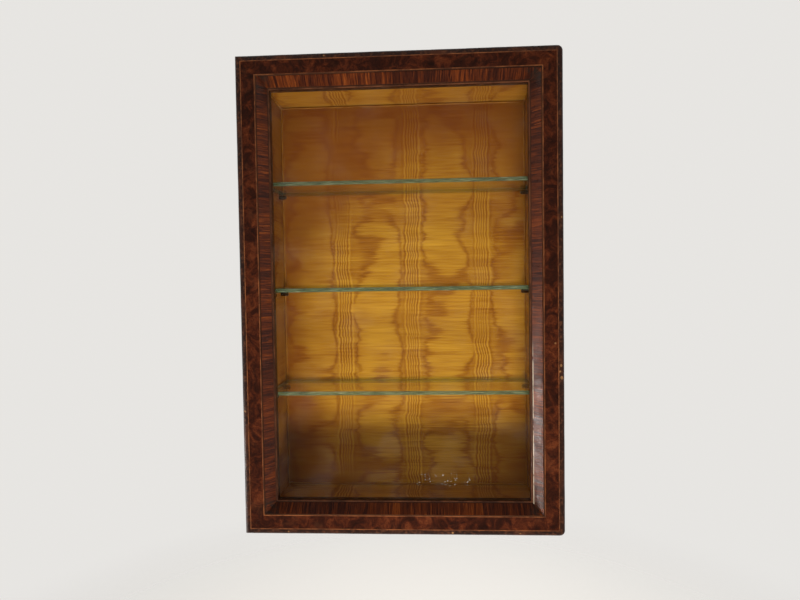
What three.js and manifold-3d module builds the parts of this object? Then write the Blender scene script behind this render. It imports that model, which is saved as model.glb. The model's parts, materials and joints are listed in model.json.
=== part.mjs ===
// Wall-hung display case with a glazed, veneered door.
//
// Frame: millimetres, +X to the viewer's right, +Z up. The wall plane is y = 0 and the
// front of the door faces -Y. The origin is on the back board, level with the middle of the door.

import * as THREE from 'three';
import { mergeVertices } from 'three/addons/utils/BufferGeometryUtils.js';
import Module from 'manifold-3d';

const wasm = await Module();
wasm.setup();

// ---------- driving dimensions ----------

const GAP = 0.3;             // clearance kept between touching pieces
const OVERALL_WIDTH = 415;
const OVERALL_HEIGHT = 620;
const OVERALL_DEPTH = 138;

const DOOR_THICKNESS = 28;
const DOOR_TO_CASE = 1;

const CASE_HALF_WIDTH = 198.5;
const CASE_TOP = 298.5;
const CASE_BOTTOM = -306.5;
const BOARD = 14;            // thickness of the case boards
const BACK_BOARD = 6;
const LAP = BOARD / 2;       // rebates take half of a board

const LINING = 3.2;          // silk over padded card
const ROLL = 2.8;            // the silk rolls over this width of a panel's rim
const ROLL_DROP = 0.8;
const SHELF_THICKNESS = 5.5;
const SHELF_DEPTH = 92;
const SHELF_END_PLAY = 0.7;
const SHELF_MIDDLES = { upper: 151, middle: 8.5, lower: -131 };

const FRONT = -OVERALL_DEPTH;
const DOOR_BACK = FRONT + DOOR_THICKNESS;
const CASE_FRONT = DOOR_BACK + DOOR_TO_CASE;
const HALF_WIDTH = OVERALL_WIDTH / 2;
const HALF_HEIGHT = OVERALL_HEIGHT / 2;

const BOARD_INNER_X = CASE_HALF_WIDTH - BOARD;
const BOARD_INNER_TOP = CASE_TOP - BOARD;
const BOARD_INNER_BOTTOM = CASE_BOTTOM + BOARD;

const LINING_BACK_FACE = -BACK_BOARD - GAP;
const LINING_FRONT_FACE = LINING_BACK_FACE - LINING;
const LINING_FRONT_EDGE = CASE_FRONT + 2;
const LINED_X = BOARD_INNER_X - GAP - LINING;
const LINED_TOP = BOARD_INNER_TOP - GAP - LINING;
const LINED_BOTTOM = BOARD_INNER_BOTTOM + GAP + LINING;

// ---------- finishes ----------

function finish(color, roughness, metalness = 0, opacity = 1) {
  return { color, roughness, metalness, opacity, transparent: opacity < 1 };
}

const FINISHES = {
  walnut: finish(0x4a2a1a, 0.45),
  ebonised: finish(0x21130f, 0.35),
  burr: finish(0x4e2718, 0.35),
  crossband: finish(0x74351a, 0.35),
  boxwood: finish(0xa07a4c, 0.45),
  pine: finish(0x8a6a44, 0.7),
  silk: finish(0xb0762f, 0.55),
  gimp: finish(0xc79a55, 0.7),
  glass: finish(0xdfeee2, 0.05, 0, 0.25),
  brass: finish(0x8a6a35, 0.4, 1),
  steel: finish(0x6f6a62, 0.45, 1),
};

const showcase = new THREE.Group();

function addPart(name, solid, finishName) {
  const mesh = solid.getMesh();
  const geometry = new THREE.BufferGeometry();
  geometry.setAttribute('position', new THREE.BufferAttribute(mesh.vertProperties, 3));
  geometry.setIndex(new THREE.BufferAttribute(mesh.triVerts, 1));
  geometry.computeVertexNormals();
  const part = new THREE.Mesh(geometry, new THREE.MeshStandardMaterial(FINISHES[finishName]));
  part.name = name;
  showcase.add(part);
}

// ---------- solids ----------

function solidFrom(geometry) {
  geometry.deleteAttribute('normal');
  geometry.deleteAttribute('uv');
  const merged = mergeVertices(geometry, 1e-4);
  return new wasm.Manifold(new wasm.Mesh({
    numProp: 3,
    vertProperties: merged.attributes.position.array,
    triVerts: Uint32Array.from(merged.index.array),
  }));
}

function join(solids) {
  return solids.reduce((whole, piece) => whole.add(piece));
}

function cut(solid, cutters) {
  return cutters.reduce((whole, cutter) => whole.subtract(cutter), solid);
}

function box([x0, x1], [y0, y1], [z0, z1]) {
  const geometry = new THREE.BoxGeometry(Math.abs(x1 - x0), Math.abs(y1 - y0), Math.abs(z1 - z0));
  geometry.translate((x0 + x1) / 2, (y0 + y1) / 2, (z0 + z1) / 2);
  return solidFrom(geometry);
}

// A round bar along one axis, from one end to the other; the middle is given on the other two axes.
function bar(axis, radius, [start, end], middle, sides = 20) {
  const length = Math.abs(end - start);
  const geometry = new THREE.CylinderGeometry(radius, radius, length, sides);
  if (axis === 'x') geometry.rotateZ(Math.PI / 2);
  if (axis === 'z') geometry.rotateX(Math.PI / 2);
  const centre = new THREE.Vector3(...middle);
  centre[axis] = (start + end) / 2;
  geometry.translate(centre.x, centre.y, centre.z);
  return solidFrom(geometry);
}

// A flat outline drawn in X and Z, given thickness along Y.
function plateXZ(shape, [y0, y1], curveSegments = 8) {
  const geometry = new THREE.ExtrudeGeometry(shape, {
    depth: y1 - y0,
    bevelEnabled: false,
    curveSegments,
  });
  geometry.rotateX(Math.PI / 2);
  geometry.translate(0, y1, 0);
  return solidFrom(geometry);
}

// ---------- strips round the door ----------
// A strip's section is given as [inward, deep]: inward from the door's outer edge,
// deep from the door's front plane.

const QUARTER_TURNS = { left: 0, top: 1, right: 2, bottom: -1 };
const SIDES = Object.keys(QUARTER_TURNS);

function mitredStrip(section, side) {
  const upright = side === 'left' || side === 'right';
  const across = upright ? HALF_WIDTH : HALF_HEIGHT;
  const along = upright ? HALF_HEIGHT : HALF_WIDTH;
  const shape = new THREE.Shape(section.map(([inward, deep]) => new THREE.Vector2(inward, deep)));
  const geometry = new THREE.ExtrudeGeometry(shape, { depth: 1, bevelEnabled: false });
  const points = geometry.attributes.position;
  for (let i = 0; i < points.count; i += 1) {
    const inward = points.getX(i);
    const reach = along - inward - GAP / 2;
    points.setXYZ(i, inward - across, FRONT + points.getY(i), points.getZ(i) < 0.5 ? -reach : reach);
  }
  geometry.rotateY(QUARTER_TURNS[side] * Math.PI / 2);
  return solidFrom(geometry);
}

function doorRectangle(inward) {
  const x = HALF_WIDTH - inward;
  const z = HALF_HEIGHT - inward;
  return [[-x, -z], [x, -z], [x, z], [-x, z]].map(([a, b]) => new THREE.Vector2(a, b));
}

// A closed ring of square section, such as an inlaid line that runs right round the door.
function doorRing([outer, inner], [shallow, deep]) {
  const shape = new THREE.Shape(doorRectangle(outer));
  shape.holes.push(new THREE.Path(doorRectangle(inner)));
  return plateXZ(shape, [FRONT + shallow, FRONT + deep]);
}

// ---------- door profile ----------

const EDGE_ROUND = 5.5;
const EDGE_CORNER_RADIUS = 7;         // the two corners on the opening side are worn round
const HINGE_CORNER_RADIUS = 1.5;
const LINE_WIDTH = 1;
const OUTER_LINE = 7.5;               // outer inlaid line starts here
const INNER_LINE = 25.2;
const EDGE_INNER = OUTER_LINE - GAP;
const BURR_OUTER = OUTER_LINE + LINE_WIDTH + GAP;
const BURR_INNER = INNER_LINE - GAP;
const VENEER = 0.8;
const VENEER_BED = VENEER + GAP;

const FILLET_OUTER = INNER_LINE + LINE_WIDTH + GAP;
const FILLET_INNER = FILLET_OUTER + 0.9;
const SLOPE_TOP = [28.3, 0.6];
const SLOPE_FOOT = [38.4, 11.8];
const NOSE_DEPTH = 13.1;
const NOSE_INNER = 39.3;
const SIGHT_BEAD = [NOSE_INNER + GAP, 41];
const REBATE = 35.7;
const GLASS_SEAT = 15.2;
const PANE = 3;
const PANE_PLAY = 0.5;

function arcSection(centre, radius, fromAngle, toAngle, steps) {
  return Array.from({ length: steps + 1 }, (_, i) => {
    const angle = fromAngle + (toAngle - fromAngle) * i / steps;
    return [centre[0] + radius * Math.cos(angle), centre[1] + radius * Math.sin(angle)];
  });
}

// Moves a point of the slope straight into the wood by the given depth.
function intoSlope([inward, deep], depth) {
  const run = SLOPE_FOOT[0] - SLOPE_TOP[0];
  const fall = SLOPE_FOOT[1] - SLOPE_TOP[1];
  const length = Math.hypot(run, fall);
  return [inward - depth * fall / length, deep + depth * run / length];
}

const EDGE_SECTION = [
  [EDGE_INNER, DOOR_THICKNESS],
  [1.2, DOOR_THICKNESS],
  [0, DOOR_THICKNESS - 1.2],
  ...arcSection([EDGE_ROUND, EDGE_ROUND], EDGE_ROUND, Math.PI, Math.PI * 1.5, 6),
  [EDGE_INNER, 0],
];

const CORE_SECTION = [
  [OUTER_LINE, DOOR_THICKNESS],
  [OUTER_LINE, VENEER_BED],
  [FILLET_OUTER, VENEER_BED],
  [FILLET_OUTER, 0.2],
  [FILLET_INNER, 0.2],
  [FILLET_INNER, 1.3],
  intoSlope(SLOPE_FOOT, VENEER_BED),
  [38.5, NOSE_DEPTH],
  [NOSE_INNER, NOSE_DEPTH],
  [NOSE_INNER, GLASS_SEAT],
  [REBATE, GLASS_SEAT],
  [REBATE, DOOR_THICKNESS],
];

const BURR_SECTION = [[BURR_OUTER, 0], [BURR_INNER, 0], [BURR_INNER, VENEER], [BURR_OUTER, VENEER]];

const CROSSBAND_SECTION = [
  SLOPE_TOP,
  SLOPE_FOOT,
  intoSlope(SLOPE_FOOT, VENEER),
  intoSlope(SLOPE_TOP, VENEER),
];

function doorOutline() {
  const [x, z] = [HALF_WIDTH, HALF_HEIGHT];
  const [open, hung] = [EDGE_CORNER_RADIUS, HINGE_CORNER_RADIUS];
  const shape = new THREE.Shape();
  shape.moveTo(-x + hung, -z);
  shape.lineTo(x - open, -z);
  shape.absarc(x - open, -z + open, open, -Math.PI / 2, 0);
  shape.lineTo(x, z - open);
  shape.absarc(x - open, z - open, open, 0, Math.PI / 2);
  shape.lineTo(-x + hung, z);
  shape.absarc(-x + hung, z - hung, hung, Math.PI / 2, Math.PI);
  shape.lineTo(-x, -z + hung);
  shape.absarc(-x + hung, -z + hung, hung, Math.PI, Math.PI * 1.5);
  return shape;
}

// ---------- hinges ----------

const HINGE_X = -203;
const HINGE_Y = (DOOR_BACK + CASE_FRONT) / 2;
const HINGE_MIDDLES = { upper: 215, lower: -215 };
const HINGE_LENGTH = 50;
const KNUCKLE_RADIUS = 3;
const KNUCKLE_CLEARANCE = 0.4;
const PIN_RADIUS = 1.2;
const LEAF = 1.4;
const LEAF_END_X = -188.5;
const LEAF_SCREW_X = -193.5;
const LEAF_SCREW_SPACING = 30;
const SCREW_RADIUS = 1.3;
const SCREW_LENGTH = 10;

const KNUCKLE_LENGTH = (HINGE_LENGTH - 2 * KNUCKLE_CLEARANCE) / 3;

function knuckleSpan(middle, place) {
  const centre = middle + place * (KNUCKLE_LENGTH + KNUCKLE_CLEARANCE);
  return [centre - KNUCKLE_LENGTH / 2, centre + KNUCKLE_LENGTH / 2];
}

function screwHeights(middle) {
  return [middle - LEAF_SCREW_SPACING / 2, middle + LEAF_SCREW_SPACING / 2];
}

// One leaf with its own knuckles and its two screws. Side is +1 for the case and -1 for the door.
function hingeLeaf(middle, side, places) {
  const seat = side > 0 ? CASE_FRONT : DOOR_BACK;
  const leafY = [seat, seat + side * LEAF];
  const ends = [middle - HINGE_LENGTH / 2, middle + HINGE_LENGTH / 2];
  const plate = box([HINGE_X + 2, LEAF_END_X], leafY, ends);
  const foreign = [-1, 0, 1].filter((place) => !places.includes(place));
  const clearRadius = KNUCKLE_RADIUS + KNUCKLE_CLEARANCE;
  const cutBack = foreign.map((place) => {
    const [low, high] = knuckleSpan(middle, place);
    const span = [low - KNUCKLE_CLEARANCE, high + KNUCKLE_CLEARANCE];
    return bar('z', clearRadius, span, [HINGE_X, HINGE_Y, 0], 24);
  });
  const knuckles = places.map((place) => (
    bar('z', KNUCKLE_RADIUS, knuckleSpan(middle, place), [HINGE_X, HINGE_Y, 0], 24)
  ));
  const screws = screwHeights(middle).map((z) => (
    bar('y', SCREW_RADIUS, [seat + side * 0.5, seat + side * SCREW_LENGTH], [LEAF_SCREW_X, 0, z], 12)
  ));
  const bore = bar('z', PIN_RADIUS + GAP, [ends[0] - 1, ends[1] + 1], [HINGE_X, HINGE_Y, 0], 20);
  return cut(join([cut(plate, cutBack), ...knuckles, ...screws]), [bore]);
}

function hingePin(middle) {
  const half = HINGE_LENGTH / 2;
  const headStart = half + GAP;
  const headEnd = headStart + 1.4;
  const profile = [
    [0, -headEnd], [1.8, -headEnd], [2.6, -headEnd + 0.5], [2.6, -headStart],
    [PIN_RADIUS, -headStart], [PIN_RADIUS, headStart], [2.6, headStart],
    [2.6, headEnd - 0.5], [1.8, headEnd], [0, headEnd],
  ].map(([r, y]) => new THREE.Vector2(r, y));
  const geometry = new THREE.LatheGeometry(profile, 20);
  geometry.rotateX(Math.PI / 2);
  geometry.translate(HINGE_X, HINGE_Y, middle);
  return solidFrom(geometry);
}

// Everything that one hinge takes out of the wood on one side of the joint.
function hingeRecess(middle, side) {
  const seat = side > 0 ? CASE_FRONT : DOOR_BACK;
  const reach = HINGE_LENGTH / 2 + GAP;
  const span = [middle - reach, middle + reach];
  const bed = box([HINGE_X, LEAF_END_X + GAP], [seat - side, seat + side * (LEAF + GAP)], span);
  const pinReach = HINGE_LENGTH / 2 + 2.2;
  const pocketSpan = [middle - pinReach, middle + pinReach];
  const pocketRadius = KNUCKLE_RADIUS + KNUCKLE_CLEARANCE;
  const pocket = bar('z', pocketRadius, pocketSpan, [HINGE_X, HINGE_Y, 0], 24);
  const holes = screwHeights(middle).map((z) => (
    bar('y', SCREW_RADIUS + GAP, [seat - side, seat + side * (SCREW_LENGTH + 1)], [LEAF_SCREW_X, 0, z], 12)
  ));
  return join([bed, pocket, ...holes]);
}

function hingeRecesses(side) {
  return Object.values(HINGE_MIDDLES).map((middle) => hingeRecess(middle, side));
}

// ---------- lock ----------
// A hook plate on the door goes into the lock in the right-hand case side. A square key turned
// in the follower lifts the bolt through the eye of the hook.

const LOCK_X = [184.8, 194.8];
const LOCK_Y = [CASE_FRONT, CASE_FRONT + 30];
const LOCK_Z = [-82, -38];
const LOCK_WALL = 1.2;
const BOLT_X = [188.2, 190.8];
const BOLT_NOSE_Y = [CASE_FRONT + 4, CASE_FRONT + 7.2];
const BOLT_NOSE_TOP = -51;
const FOLLOWER_Y = CASE_FRONT + 21;
const FOLLOWER_Z = -66;
const CRANK_RADIUS = 4.5;
const CRANK_PIN_RADIUS = 1.5;
const CRANK_OFFSET = CRANK_RADIUS * Math.SQRT1_2;    // the crank starts 45 degrees below level
const HUB_RADIUS = 3.7;
const HUB_END_X = 196.5;
const HOOK_Z = [-50, -47.5];
const HOOK_X = [186.3, 192.7];
const HOOK_TIP_Y = CASE_FRONT + 10.6;
const HOOK_PLATE_X = [184.5, 195.5];
const HOOK_PLATE_Z = [-68, -30];
const HOOK_SCREW_HEIGHTS = [-62, -36];
const ESCUTCHEON_RADIUS = 8;
const ESCUTCHEON_HOLE = 4.4;
const ESCUTCHEON = 1.2;

function lockCase() {
  const [x, y, z] = [LOCK_X, LOCK_Y, LOCK_Z];
  const inside = [x, y, z].map(([low, high]) => [low + LOCK_WALL, high - LOCK_WALL]);
  const hookSlot = box(
    [HOOK_X[0] - 0.2, HOOK_X[1] + 0.4],
    [y[0] - 1, y[0] + LOCK_WALL + 1],
    [HOOK_Z[0] - 0.6, HOOK_Z[1] + 0.6],
  );
  const hubHole = bar('x', HUB_RADIUS + GAP, [x[1] - 3, x[1] + 1], [0, FOLLOWER_Y, FOLLOWER_Z], 24);
  const hollow = cut(box(x, y, z), [box(...inside), hookSlot, hubHole]);
  const guideRib = box([x[0] + 0.5, BOLT_X[0] - GAP], BOLT_NOSE_Y, [z[0] + 0.5, BOLT_NOSE_TOP - 3]);
  return hollow.add(guideRib);
}

function lockBolt() {
  const nose = box(BOLT_X, BOLT_NOSE_Y, [-78, BOLT_NOSE_TOP]);
  const tail = box(BOLT_X, [BOLT_NOSE_Y[0], FOLLOWER_Y + 1], [-76, -62.5]);
  const slotY = [
    FOLLOWER_Y - CRANK_RADIUS - CRANK_PIN_RADIUS - 0.5,
    FOLLOWER_Y - CRANK_OFFSET + CRANK_PIN_RADIUS + 0.5,
  ];
  const slotMiddle = FOLLOWER_Z - CRANK_OFFSET;
  const slotHalf = CRANK_PIN_RADIUS + GAP;
  const slot = box([BOLT_X[0] - 1, BOLT_X[1] + 1], slotY, [slotMiddle - slotHalf, slotMiddle + slotHalf]);
  return cut(nose.add(tail), [slot]);
}

function lockFollower() {
  const middle = [0, FOLLOWER_Y, FOLLOWER_Z];
  const discX = [BOLT_X[1] + GAP, BOLT_X[1] + GAP + 2];
  const disc = bar('x', 7, discX, middle, 28);
  const hub = bar('x', HUB_RADIUS, [discX[0] + 0.5, HUB_END_X], middle, 24);
  const crankPin = bar(
    'x',
    CRANK_PIN_RADIUS,
    [BOLT_X[0] + 0.2, discX[0] + 0.5],
    [0, FOLLOWER_Y - CRANK_OFFSET, FOLLOWER_Z - CRANK_OFFSET],
    16,
  );
  const keySquare = 2;
  const socket = box(
    [HUB_END_X - 4, HUB_END_X + 1],
    [FOLLOWER_Y - keySquare, FOLLOWER_Y + keySquare],
    [FOLLOWER_Z - keySquare, FOLLOWER_Z + keySquare],
  );
  return cut(join([disc, hub, crankPin]), [socket]);
}

function lockHookPlate() {
  const plate = box(HOOK_PLATE_X, [DOOR_BACK - LEAF, DOOR_BACK], HOOK_PLATE_Z);
  const hook = box(HOOK_X, [DOOR_BACK - 0.5, HOOK_TIP_Y], HOOK_Z);
  const eye = box(
    [BOLT_X[0] - 0.4, BOLT_X[1] + 0.4],
    [BOLT_NOSE_Y[0] - 0.5, BOLT_NOSE_Y[1] + 0.5],
    [HOOK_Z[0] - 1, HOOK_Z[1] + 1],
  );
  const middleX = (HOOK_PLATE_X[0] + HOOK_PLATE_X[1]) / 2;
  const screws = HOOK_SCREW_HEIGHTS.map((z) => (
    bar('y', SCREW_RADIUS, [DOOR_BACK - 0.5, DOOR_BACK - SCREW_LENGTH], [middleX, 0, z], 12)
  ));
  return cut(join([plate, hook, ...screws]), [eye]);
}

function hookPlateRecess() {
  const bed = box(
    [HOOK_PLATE_X[0] - GAP, HOOK_PLATE_X[1] + GAP],
    [DOOR_BACK - LEAF - GAP, DOOR_BACK + 1],
    [HOOK_PLATE_Z[0] - GAP, HOOK_PLATE_Z[1] + GAP],
  );
  const middleX = (HOOK_PLATE_X[0] + HOOK_PLATE_X[1]) / 2;
  const holes = HOOK_SCREW_HEIGHTS.map((z) => (
    bar('y', SCREW_RADIUS + GAP, [DOOR_BACK, DOOR_BACK - SCREW_LENGTH - 1], [middleX, 0, z], 12)
  ));
  return join([bed, ...holes]);
}

// The mortise that holds the lock, the key hole and the seat of the escutcheon.
function lockMortise() {
  const bed = box(
    [BOARD_INNER_X - 1, LOCK_X[1] + GAP],
    [LOCK_Y[0] - 1, LOCK_Y[1] + GAP],
    [LOCK_Z[0] - GAP, LOCK_Z[1] + GAP],
  );
  const middle = [0, FOLLOWER_Y, FOLLOWER_Z];
  const keyHole = bar('x', ESCUTCHEON_HOLE, [LOCK_X[1], CASE_HALF_WIDTH + 1], middle, 24);
  const seatX = CASE_HALF_WIDTH - ESCUTCHEON - GAP;
  const seat = bar('x', ESCUTCHEON_RADIUS + GAP, [seatX, CASE_HALF_WIDTH + 1], middle, 32);
  return join([bed, keyHole, seat]);
}

function lockEscutcheon() {
  const middle = [0, FOLLOWER_Y, FOLLOWER_Z];
  const disc = bar('x', ESCUTCHEON_RADIUS, [CASE_HALF_WIDTH - ESCUTCHEON, CASE_HALF_WIDTH], middle, 32);
  const span = [CASE_HALF_WIDTH - ESCUTCHEON - 1, CASE_HALF_WIDTH + 1];
  return cut(disc, [bar('x', ESCUTCHEON_HOLE, span, middle, 24)]);
}

// ---------- wall hangers ----------
// Brass keyhole plates, flush with the back, with a pocket behind each for the screw head.

const HANGER_X = [178, 198];
const HANGER_Z = [238, 284];
const HANGER = 2;
const KEYHOLE_X = 184;
const KEYHOLE_HEAD_Z = 252;
const KEYHOLE_HEAD_RADIUS = 5.2;
const KEYHOLE_NECK_TOP = 268;
const KEYHOLE_NECK_RADIUS = 2.6;
const HANGER_SCREW_X = 195;
const HANGER_SCREW_HEIGHTS = [246, 276];

function keyholeOpening(sign) {
  const neckX = [sign * KEYHOLE_X - KEYHOLE_NECK_RADIUS, sign * KEYHOLE_X + KEYHOLE_NECK_RADIUS];
  const span = [-HANGER - 1, 1];
  return join([
    bar('y', KEYHOLE_HEAD_RADIUS, span, [sign * KEYHOLE_X, 0, KEYHOLE_HEAD_Z], 24),
    box(neckX, span, [KEYHOLE_HEAD_Z, KEYHOLE_NECK_TOP]),
    bar('y', KEYHOLE_NECK_RADIUS, span, [sign * KEYHOLE_X, 0, KEYHOLE_NECK_TOP], 24),
  ]);
}

function hangerPlate(sign) {
  const plate = box([sign * HANGER_X[0], sign * HANGER_X[1]], [-HANGER, 0], HANGER_Z);
  const screws = HANGER_SCREW_HEIGHTS.map((z) => (
    bar('y', SCREW_RADIUS, [-0.5, -HANGER - SCREW_LENGTH], [sign * HANGER_SCREW_X, 0, z], 12)
  ));
  return cut(join([plate, ...screws]), [keyholeOpening(sign)]);
}

function hangerRecess(sign) {
  const bed = box(
    [sign * (HANGER_X[0] - GAP), sign * (HANGER_X[1] + 1)],
    [-HANGER - GAP, 1],
    [HANGER_Z[0] - GAP, HANGER_Z[1] + GAP],
  );
  const screwHoles = HANGER_SCREW_HEIGHTS.map((z) => (
    bar('y', SCREW_RADIUS + GAP, [0, -HANGER - SCREW_LENGTH - 1], [sign * HANGER_SCREW_X, 0, z], 12)
  ));
  const pocket = box([sign * (KEYHOLE_X - 6), sign * (KEYHOLE_X + 6)], [-BACK_BOARD - 1, 0], [246, 276]);
  return { bed: join([bed, ...screwHoles]), pocket };
}

// ---------- shelf pegs ----------

const PEG_RADIUS = 3.1;
const PEG_REACH = 10;                // how far a peg stands out of the lining
const PEG_SOCKET = 9;                // how deep it goes into the board
const PEG_PLACES = { front: -92, back: -28 };

function pegHeight(shelfMiddle) {
  return shelfMiddle - SHELF_THICKNESS / 2 - GAP - PEG_RADIUS;
}

function pegPlaces() {
  return Object.entries(SHELF_MIDDLES).flatMap(([shelf, shelfMiddle]) => (
    Object.entries(PEG_PLACES).map(([place, y]) => ({ shelf, place, y, z: pegHeight(shelfMiddle) }))
  ));
}

function peg(sign, y, z) {
  const length = PEG_REACH + LINING + GAP + PEG_SOCKET;
  const round = 0.8;
  const profile = [
    [0, 0], [PEG_RADIUS, 0], [PEG_RADIUS, length - round], [PEG_RADIUS - round, length], [0, length],
  ].map(([r, x]) => new THREE.Vector2(r, x));
  const geometry = new THREE.LatheGeometry(profile, 20);
  geometry.rotateZ(sign * Math.PI / 2);
  geometry.translate(sign * (BOARD_INNER_X + PEG_SOCKET), y, z);
  return solidFrom(geometry);
}

function pegHoles(sign) {
  const span = [sign * (LINED_X - 1), sign * (BOARD_INNER_X + PEG_SOCKET + GAP)];
  return pegPlaces().map(({ y, z }) => bar('x', PEG_RADIUS + GAP, span, [0, y, z], 20));
}

// ---------- case ----------

function caseSpan(inset = 0) {
  return [-CASE_HALF_WIDTH + inset, CASE_HALF_WIDTH - inset];
}

// Top or bottom board: lapped over the sides at its ends, rebated for the back board.
function crossBoard(outer, inner) {
  const inwards = Math.sign(inner - outer);
  const lapZ = [outer + inwards * LAP, inner + inwards];
  const board = box(caseSpan(), [CASE_FRONT, 0], [outer, inner]);
  const ends = [-1, 1].map((sign) => (
    box([sign * (BOARD_INNER_X - GAP), sign * (CASE_HALF_WIDTH + 1)], [CASE_FRONT - 1, 1], lapZ)
  ));
  const backRebate = box(caseSpan(-1), [LINING_BACK_FACE, 1], lapZ);
  return cut(board, [...ends, backRebate]);
}

function sideBoard(sign) {
  const height = [CASE_BOTTOM + LAP + GAP, CASE_TOP - LAP - GAP];
  const board = box([sign * BOARD_INNER_X, sign * CASE_HALF_WIDTH], [CASE_FRONT, 0], height);
  const rebateX = [sign * (BOARD_INNER_X - 1), sign * (BOARD_INNER_X + LAP)];
  const backRebate = box(rebateX, [LINING_BACK_FACE, 1], [CASE_BOTTOM, CASE_TOP]);
  const fittings = sign > 0 ? [lockMortise()] : hingeRecesses(1);
  return cut(board, [backRebate, ...pegHoles(sign), hangerRecess(sign).bed, ...fittings]);
}

function backBoard() {
  const x = BOARD_INNER_X + LAP - GAP;
  const z = [BOARD_INNER_BOTTOM - LAP + GAP, BOARD_INNER_TOP + LAP - GAP];
  const recesses = [-1, 1].flatMap((sign) => Object.values(hangerRecess(sign)));
  return cut(box([-x, x], [-BACK_BOARD, 0], z), recesses);
}

function buildCase() {
  addPart('case_top', crossBoard(CASE_TOP, BOARD_INNER_TOP), 'walnut');
  addPart('case_bottom', crossBoard(CASE_BOTTOM, BOARD_INNER_BOTTOM), 'walnut');
  addPart('case_side_left', sideBoard(-1), 'walnut');
  addPart('case_side_right', sideBoard(1), 'walnut');
  addPart('back_board', backBoard(), 'pine');
}

// A silk panel whose face, on the given axis and side, is rolled down all round its rim.
function liningPanel(spans, faceAxis, faceSide) {
  const base = spans.map(([low, high], axis) => {
    if (axis !== faceAxis) return [low, high];
    return faceSide > 0 ? [low, high - ROLL_DROP] : [low + ROLL_DROP, high];
  });
  const face = spans.map(([low, high], axis) => (
    axis === faceAxis ? [low, high] : [low + ROLL, high - ROLL]
  ));
  return wasm.Manifold.hull([box(...base), box(...face)]);
}

function buildLinings() {
  const x = BOARD_INNER_X - GAP;
  const top = BOARD_INNER_TOP - GAP;
  const bottom = BOARD_INNER_BOTTOM + GAP;
  const depth = [LINING_FRONT_EDGE, LINING_FRONT_FACE - GAP];
  const back = [[-x, x], [LINING_FRONT_FACE, LINING_BACK_FACE], [bottom, top]];
  addPart('lining_back', liningPanel(back, 1, -1), 'silk');
  const between = [-LINED_X + GAP, LINED_X - GAP];
  addPart('lining_top', liningPanel([between, depth, [LINED_TOP, top]], 2, -1), 'silk');
  addPart('lining_bottom', liningPanel([between, depth, [bottom, LINED_BOTTOM]], 2, 1), 'silk');
  const left = liningPanel([[-x, -LINED_X], depth, [bottom, top]], 0, 1);
  const right = liningPanel([[LINED_X, x], depth, [bottom, top]], 0, -1);
  addPart('lining_left', cut(left, pegHoles(-1)), 'silk');
  addPart('lining_right', cut(right, pegHoles(1)), 'silk');
}

// The thin gimp cord that hides the seams: a ring round the back panel, with an arm
// from each of its corners out to the front.
function buildGimp() {
  const radius = 1.1;
  const inset = GAP + radius;
  const x = LINED_X - inset;
  const y = LINING_FRONT_FACE - inset;
  const [low, high] = [LINED_BOTTOM + inset, LINED_TOP - inset];
  const sides = 8;
  const corners = [low, high].flatMap((z) => [-x, x].map((cornerX) => [cornerX, z]));
  const balls = corners.map(([cornerX, z]) => {
    const ball = new THREE.SphereGeometry(radius, sides, 6);
    ball.rotateX(Math.PI / 2);
    ball.translate(cornerX, y, z);
    return solidFrom(ball);
  });
  const arms = corners.map(([cornerX, z]) => (
    bar('y', radius, [LINING_FRONT_EDGE, y], [cornerX, 0, z], sides)
  ));
  const uprights = [-x, x].map((cordX) => bar('z', radius, [low, high], [cordX, y, 0], sides));
  const levels = [low, high].map((z) => bar('x', radius, [-x, x], [0, y, z], sides));
  addPart('lining_gimp', join([...uprights, ...levels, ...arms, ...balls]), 'gimp');
}

function buildShelves() {
  const x = LINED_X - SHELF_END_PLAY;
  const back = LINING_FRONT_FACE - 3.5;
  for (const [name, middle] of Object.entries(SHELF_MIDDLES)) {
    const z = [middle - SHELF_THICKNESS / 2, middle + SHELF_THICKNESS / 2];
    addPart(`shelf_${name}`, box([-x, x], [back - SHELF_DEPTH, back], z), 'glass');
  }
  for (const { shelf, place, y, z } of pegPlaces()) {
    addPart(`peg_${shelf}_left_${place}`, peg(-1, y, z), 'brass');
    addPart(`peg_${shelf}_right_${place}`, peg(1, y, z), 'brass');
  }
}

// ---------- door ----------

function coreStrip(side) {
  const strip = mitredStrip(CORE_SECTION, side);
  if (side === 'left') return cut(strip, hingeRecesses(-1));
  if (side === 'right') return cut(strip, [hookPlateRecess()]);
  return strip;
}

function edgeStrip(side, outline) {
  const strip = mitredStrip(EDGE_SECTION, side).intersect(outline);
  return side === 'left' ? cut(strip, hingeRecesses(-1)) : strip;
}

function buildDoor() {
  const outline = plateXZ(doorOutline(), [FRONT - 1, DOOR_BACK + 1]);
  for (const side of SIDES) {
    addPart(`door_core_${side}`, coreStrip(side), 'walnut');
    addPart(`edge_moulding_${side}`, edgeStrip(side, outline), 'ebonised');
    addPart(`burr_band_${side}`, mitredStrip(BURR_SECTION, side), 'burr');
    addPart(`crossband_${side}`, mitredStrip(CROSSBAND_SECTION, side), 'crossband');
  }
  const line = (start) => doorRing([start, start + LINE_WIDTH], [0, VENEER]);
  addPart('stringing_outer', line(OUTER_LINE), 'boxwood');
  addPart('stringing_inner', line(INNER_LINE), 'boxwood');
  addPart('sight_bead', doorRing(SIGHT_BEAD, [12.4, GLASS_SEAT]), 'boxwood');

  const paneInset = REBATE + PANE_PLAY;
  const paneX = HALF_WIDTH - paneInset;
  const paneZ = HALF_HEIGHT - paneInset;
  const paneFront = GLASS_SEAT + GAP;
  const paneY = [FRONT + paneFront, FRONT + paneFront + PANE];
  addPart('door_glass', box([-paneX, paneX], paneY, [-paneZ, paneZ]), 'glass');
  const beadFront = paneFront + PANE + GAP;
  addPart('glazing_bead', doorRing([REBATE + GAP, 40.6], [beadFront, beadFront + 7]), 'walnut');
}

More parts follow.
